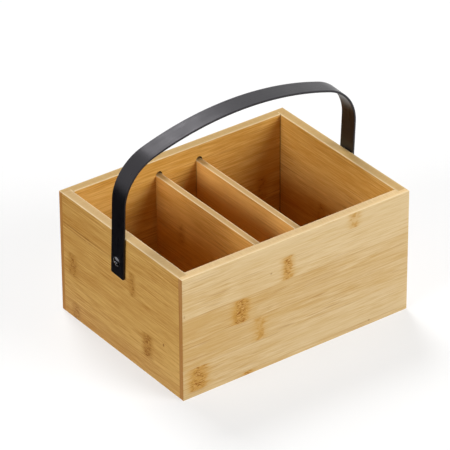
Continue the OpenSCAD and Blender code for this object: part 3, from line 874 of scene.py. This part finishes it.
def washer_grids(side):
    """A spacer washer: a plate's rounded edge carried round its rim and round its bore."""
    half = (WASHER_BOX[1].y - WASHER_BOX[0].y) / 2
    thick = WASHER_BOX[1].x - WASHER_BOX[0].x
    bore = 2.55 * MM
    turns = np.linspace(0, 2 * math.pi, 97)[:-1]
    outside = rounded_edge(0.25 * MM, thick) * (-1, 1) + (half, thick / 2)
    inside = rounded_edge(0.1 * MM, thick) * (1, -1) + (bore, thick / 2)
    ring = revolved(np.concatenate([outside, inside]), turns)
    return [(on_pivot(ring, side), True, True)]


def insert_grids(pivots, side):
    """A threaded insert: a sleeve whose outside carries a coarse wood thread and whose bore is chamfered."""
    outer = (INSERT_BOX[1].y - INSERT_BOX[0].y) / 2
    deep = INSERT_BOX[1].x - INSERT_BOX[0].x
    bore, lead = 2.05 * MM, 0.4 * MM
    turns = np.linspace(0, 2 * math.pi, 97)[:-1]
    rows = np.linspace(0, deep, 61)[:, None]
    run_out = np.clip(np.minimum(rows, deep - rows) / (0.5 * pivots.insert_pitch), 0, 1)
    cut = 0.45 * MM * (1 - ridge(rows / pivots.insert_pitch + turns / (2 * math.pi))) * run_out
    radius = outer - np.maximum(cut, 0.2 * MM * (1 - run_out))
    skin = np.stack([radius * np.cos(turns), radius * np.sin(turns), np.broadcast_to(-rows, radius.shape)], axis=-1)
    inside = np.array([(bore + lead, -deep), (bore, lead - deep), (bore, -lead), (bore + lead, 0.0)])
    ring = np.concatenate([skin, revolved(inside, turns)])
    return [(on_pivot(ring, side), True, True)]


class CADDY_OT_wall_panels(bpy.types.Operator):
    """Gives the four wall panels their bamboo"""

    bl_idname = "caddy.wall_panels"
    bl_label = "Wall panels"

    def execute(self, context):
        for name in ("front_panel", "back_panel", "left_end_panel", "right_end_panel"):
            finish_board(name, context.scene.caddy_bamboo)
        return {"FINISHED"}


class CADDY_OT_bottom(bpy.types.Operator):
    """Gives the bottom panel its bamboo"""

    bl_idname = "caddy.bottom"
    bl_label = "Bottom panel"

    def execute(self, context):
        finish_board("bottom_panel", context.scene.caddy_bamboo)
        return {"FINISHED"}


class CADDY_OT_dividers(bpy.types.Operator):
    """Gives the two dividers their bamboo"""

    bl_idname = "caddy.dividers"
    bl_label = "Dividers"

    def execute(self, context):
        for name in ("left_divider", "right_divider"):
            finish_board(name, context.scene.caddy_bamboo)
        return {"FINISHED"}


class CADDY_OT_handle_strap(bpy.types.Operator):
    """Bends the handle's strap from its flat blank"""

    bl_idname = "caddy.handle_strap"
    bl_label = "Handle strap"

    def execute(self, context):
        strap = context.scene.caddy_strap
        material = coated_material(
            "black_satin_coat", strap.coat, strap.roughness, 0.35 * MM, lean=strap.lean
        )
        material.node_tree.nodes["Principled BSDF"].inputs["Specular Tint"].default_value = (0.96, 0.92, 1.0, 1.0)
        grids = strap_grids(strap)
        grid_piece("bent_strap", grids, "handle", material, ["handle_strap"])
        return {"FINISHED"}


class CADDY_OT_pivot_screws(bpy.types.Operator):
    """Turns the two pivot screws, with their recessed heads and threads"""

    bl_idname = "caddy.pivot_screws"
    bl_label = "Pivot screws"

    def execute(self, context):
        pivots = context.scene.caddy_pivots
        material = coated_material("black_plating", pivots.screw, 0.24, 0.2 * MM, metallic=1.0)
        for word, side in (("left", -1), ("right", 1)):
            nodes = [word + "_pivot_screw"]
            grid_piece(word + "_recessed_screw", screw_grids(pivots, side), "box", material, nodes)
        return {"FINISHED"}


class CADDY_OT_spacer_washers(bpy.types.Operator):
    """Moulds the two nylon washers behind the strap"""

    bl_idname = "caddy.spacer_washers"
    bl_label = "Spacer washers"

    def execute(self, context):
        material = coated_material("dark_nylon_moulding", context.scene.caddy_pivots.nylon, 0.55, 0.3 * MM)
        for word, side in (("left", -1), ("right", 1)):
            nodes = [word + "_spacer_washer"]
            grid_piece(word + "_nylon_washer", washer_grids(side), "box", material, nodes)
        return {"FINISHED"}


class CADDY_OT_threaded_inserts(bpy.types.Operator):
    """Turns the two brass inserts that the screws hold in"""

    bl_idname = "caddy.threaded_inserts"
    bl_label = "Threaded inserts"

    def execute(self, context):
        pivots = context.scene.caddy_pivots
        material = coated_material("turned_brass", pivots.brass, 0.32, 0.25 * MM, metallic=1.0)
        for word, side in (("left", -1), ("right", 1)):
            nodes = [word + "_threaded_insert"]
            grid_piece(word + "_brass_insert", insert_grids(pivots, side), "box", material, nodes)
        return {"FINISHED"}


def add_sun(name, toward, strength, spread, sheen=False):
    """A soft distant lamp that shines from the direction toward, or only shows in reflections from there."""
    lamp = bpy.data.lights.new(name, "SUN")
    lamp.energy = strength
    lamp.angle = spread
    holder = bpy.data.objects.new(name, lamp)
    holder.rotation_mode = "QUATERNION"
    holder.rotation_quaternion = Vector(toward).to_track_quat("Z", "Y")
    holder.visible_diffuse = not sheen
    holder.visible_glossy = sheen
    bpy.context.scene.collection.objects.link(holder)


def add_camera(stage):
    """A camera at the photograph's viewing angle, with the box as far from the view's middle as there."""
    turn, lift = stage.azimuth, stage.elevation
    back = Vector((math.sin(turn) * math.cos(lift), -math.cos(turn) * math.cos(lift), math.sin(lift)))
    right = Vector((math.cos(turn), math.sin(turn), 0.0))
    upright = back.cross(right)
    level = (math.cos(stage.roll), math.sin(stage.roll))
    across = level[0] * right + level[1] * upright
    up = level[0] * upright - level[1] * right
    middle = (BOX_LOW + BOX_HIGH) / 2
    place = middle + back * stage.distance + across * stage.aside + up * stage.above
    lens = bpy.data.cameras.new("photo_view")
    lens.sensor_width = 36
    lens.lens = stage.lens / MM
    lens.clip_start, lens.clip_end = 0.1, 100
    camera = bpy.data.objects.new("photo_view", lens)
    camera.matrix_world = Matrix((across, up, back)).transposed().to_4x4()
    camera.location = place
    bpy.context.scene.collection.objects.link(camera)
    bpy.context.scene.camera = camera


def background_seen(tree):
    """1 for rays that show the background: the camera's, and those that metal and glass send on."""
    path = tree.node("ShaderNodeLightPath").outputs
    seen = tree.math("MAXIMUM", path["Is Camera Ray"], path["Is Glossy Ray"])
    return tree.math("MAXIMUM", seen, path["Is Transmission Ray"])


def add_floor(colour):
    """A wide flat floor, white to the camera but for the object's shadow, and clear to light and views from below."""
    reach = 8.0
    line = np.linspace(-reach, reach, 9)
    x, y = np.meshgrid(line, line, indexing="ij")
    mesh = bpy.data.meshes.new("studio_floor")
    points = np.stack([x, y, np.zeros_like(x)], axis=-1).reshape(-1, 3)
    mesh.from_pydata(points.tolist(), [], quads(9, 9, 0).tolist())
    material = bpy.data.materials.new("pale_floor")
    material.use_nodes = True
    material.node_tree.nodes.clear()
    tree = Tree(material.node_tree)
    matt = tree.node("ShaderNodeBsdfDiffuse", {"Color": linear(colour)})
    dull = tree.node("ShaderNodeBsdfDiffuse", {"Color": (0.4, 0.4, 0.4, 1)})
    white = tree.node("ShaderNodeEmission", {"Color": (1, 1, 1, 1), "Strength": 1.0})
    half_lit = tree.node("ShaderNodeMixShader", {0: 0.6, 1: matt.outputs[0], 2: white.outputs[0]})
    lifted = tree.node("ShaderNodeMixShader", {0: background_seen(tree), 1: dull.outputs[0], 2: half_lit.outputs[0]})
    shadow_ray = tree.node("ShaderNodeLightPath").outputs["Is Shadow Ray"]
    under = tree.math("MAXIMUM", tree.node("ShaderNodeNewGeometry").outputs["Backfacing"], shadow_ray)
    clear = tree.node("ShaderNodeBsdfTransparent")
    sided = tree.node("ShaderNodeMixShader", {0: under, 1: lifted.outputs[0], 2: clear.outputs[0]})
    tree.node("ShaderNodeOutputMaterial", {"Surface": sided.outputs[0]})
    mesh.materials.append(material)
    floor = bpy.data.objects.new("studio_floor", mesh)
    bpy.context.scene.collection.objects.link(floor)


def add_dark_card():
    """A dark card on the floor beside the left end, which only shows as a reflection in the strap's leg."""
    low, high = Vector((-2.5, -0.5, 0.001)), Vector((-0.135, 2.5, 0.001))
    x, y = np.meshgrid((low.x, high.x), (low.y, high.y), indexing="ij")
    mesh = bpy.data.meshes.new("dark_card")
    points = np.stack([x, y, np.full_like(x, low.z)], axis=-1).reshape(-1, 3)
    mesh.from_pydata(points.tolist(), [], quads(2, 2, 0).tolist())
    material, tree, shader = new_material("dark_felt")
    shader.inputs["Base Color"].default_value = (0.002, 0.002, 0.002, 1)
    shader.inputs["Specular IOR Level"].default_value = 0.0
    mesh.materials.append(material)
    card = bpy.data.objects.new("dark_card", mesh)
    card.visible_camera = False
    card.visible_diffuse = False
    card.visible_transmission = False
    card.visible_shadow = False
    bpy.context.scene.collection.objects.link(card)


def add_world(ambient):
    """Even light from all round, seen by the camera and in reflections as plain white."""
    world = bpy.data.worlds.new("studio_air")
    world.use_nodes = True
    world.node_tree.nodes.clear()
    tree = Tree(world.node_tree)
    strength = tree.math("MULTIPLY_ADD", background_seen(tree), 1.0 - ambient, ambient)
    air = tree.node("ShaderNodeBackground", {"Color": (1, 1, 1, 1), "Strength": strength})
    tree.node("ShaderNodeOutputWorld", {"Surface": air.outputs[0]})
    bpy.context.scene.world = world


class CADDY_OT_stage(bpy.types.Operator):
    """Sets the pale floor, the soft studio light and the camera"""

    bl_idname = "caddy.stage"
    bl_label = "Stage"

    def execute(self, context):
        stage = context.scene.caddy_stage
        add_camera(stage)
        add_floor(stage.floor)
        add_dark_card()
        add_world(stage.ambient)
        add_sun("overhead_softbox", (0.13, 0.62, 0.77), stage.overhead, math.radians(26))
        add_sun("overhead_sheen", (0.20, 0.62, 0.76), stage.sheen, math.radians(24), sheen=True)
        add_sun("side_fill", (-0.94, -0.06, 0.34), stage.side_fill, math.radians(34))
        add_sun("front_fill", (0.48, -0.80, 0.36), stage.front_fill, math.radians(38))
        add_sun("underglow", (0.0, 0.0, -1.0), stage.underglow, math.radians(8))
        context.scene.view_settings.view_transform = "Standard"
        return {"FINISHED"}


OPERATORS = (
    CADDY_OT_wall_panels,
    CADDY_OT_bottom,
    CADDY_OT_dividers,
    CADDY_OT_handle_strap,
    CADDY_OT_pivot_screws,
    CADDY_OT_spacer_washers,
    CADDY_OT_threaded_inserts,
    CADDY_OT_stage,
)
SETTINGS = {
    "caddy_bamboo": CaddyBamboo,
    "caddy_strap": CaddyStrap,
    "caddy_pivots": CaddyPivots,
    "caddy_stage": CaddyStage,
}


class CADDY_PT_sidebar(bpy.types.Panel):
    """Lists the caddy's settings and the steps that make it"""

    bl_label = "Condiment caddy"
    bl_idname = "CADDY_PT_sidebar"
    bl_space_type = "VIEW_3D"
    bl_region_type = "UI"
    bl_category = "Caddy"

    def draw(self, context):
        for operator in OPERATORS:
            self.layout.operator(operator.bl_idname)
        for name, settings in SETTINGS.items():
            group = getattr(context.scene, name)
            box = self.layout.box()
            box.label(text=settings.__doc__)
            for key in settings.__annotations__:
                box.prop(group, key)


CLASSES = (*SETTINGS.values(), *OPERATORS, CADDY_PT_sidebar)


def register():
    """Registers the classes and hangs the settings on the scene."""
    for kind in CLASSES:
        bpy.utils.register_class(kind)
    for name, settings in SETTINGS.items():
        setattr(bpy.types.Scene, name, PointerProperty(type=settings))


def unregister():
    """Takes away what register added."""
    for name in SETTINGS:
        delattr(bpy.types.Scene, name)
    for kind in reversed(CLASSES):
        bpy.utils.unregister_class(kind)


def main():
    """Registers the classes and makes the caddy and its stage."""
    register()
    bpy.ops.caddy.wall_panels()
    bpy.ops.caddy.bottom()
    bpy.ops.caddy.dividers()
    bpy.ops.caddy.handle_strap()
    bpy.ops.caddy.pivot_screws()
    bpy.ops.caddy.spacer_washers()
    bpy.ops.caddy.threaded_inserts()
    bpy.ops.caddy.stage()


if __name__ == "__main__":
    main()
